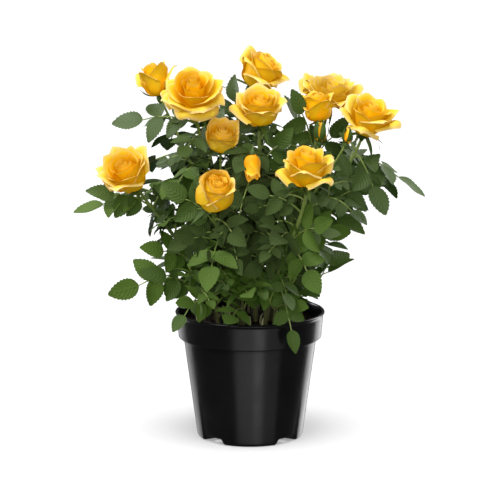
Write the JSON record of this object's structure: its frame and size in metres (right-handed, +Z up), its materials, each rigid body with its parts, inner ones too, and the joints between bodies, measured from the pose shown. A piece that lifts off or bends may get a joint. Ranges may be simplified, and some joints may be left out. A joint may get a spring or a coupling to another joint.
{
  "type": "potted rose bush",
  "caption": "Small rose bush with golden yellow blooms on thin green canes, standing in a round black nursery pot.",
  "frame": {"origin": "middle of the pot's flat underside", "axes": "+Z up through the plant, -Y towards the side that the picture shows, +X to the right of that view"},
  "size_m": [0.2782, 0.2387, 0.3098],
  "materials": {
    "pot": "satin",
    "soil": "matte",
    "cane": "satin",
    "foliage": "satin",
    "bloom": "satin"
  },
  "bodies": {
    "root": {"pot": "pot", "soil": "soil", "cane_far_left": "cane", "cane_left": "cane", "cane_front_left": "cane", "cane_middle": "cane", "cane_back_middle": "cane", "cane_front_right": "cane", "cane_right": "cane", "cane_back_right": "cane", "cane_far_right": "cane", "cane_rear_left": "cane", "cane_rear_right": "cane", "stem_skirt_left": "cane", "stem_skirt_front_left": "cane", "stem_skirt_front": "cane", "stem_skirt_front_right": "cane", "stem_skirt_right": "cane", "stem_skirt_back_right": "cane", "stem_skirt_back": "cane", "stem_skirt_back_left": "cane", "crown_far_left": "bloom", "crown_left": "bloom", "crown_front_left": "bloom", "crown_middle": "bloom", "crown_back_middle": "bloom", "crown_front_right": "bloom", "crown_right": "bloom", "crown_back_right": "bloom", "crown_far_right": "bloom", "crown_rear_left": "bloom", "crown_rear_right": "bloom", "skirt_left": "foliage", "skirt_front_left": "foliage", "skirt_front": "foliage", "skirt_front_right": "foliage", "skirt_right": "foliage", "skirt_back_right": "foliage", "skirt_back": "foliage", "skirt_back_left": "foliage"}
  },
  "joints": []
}
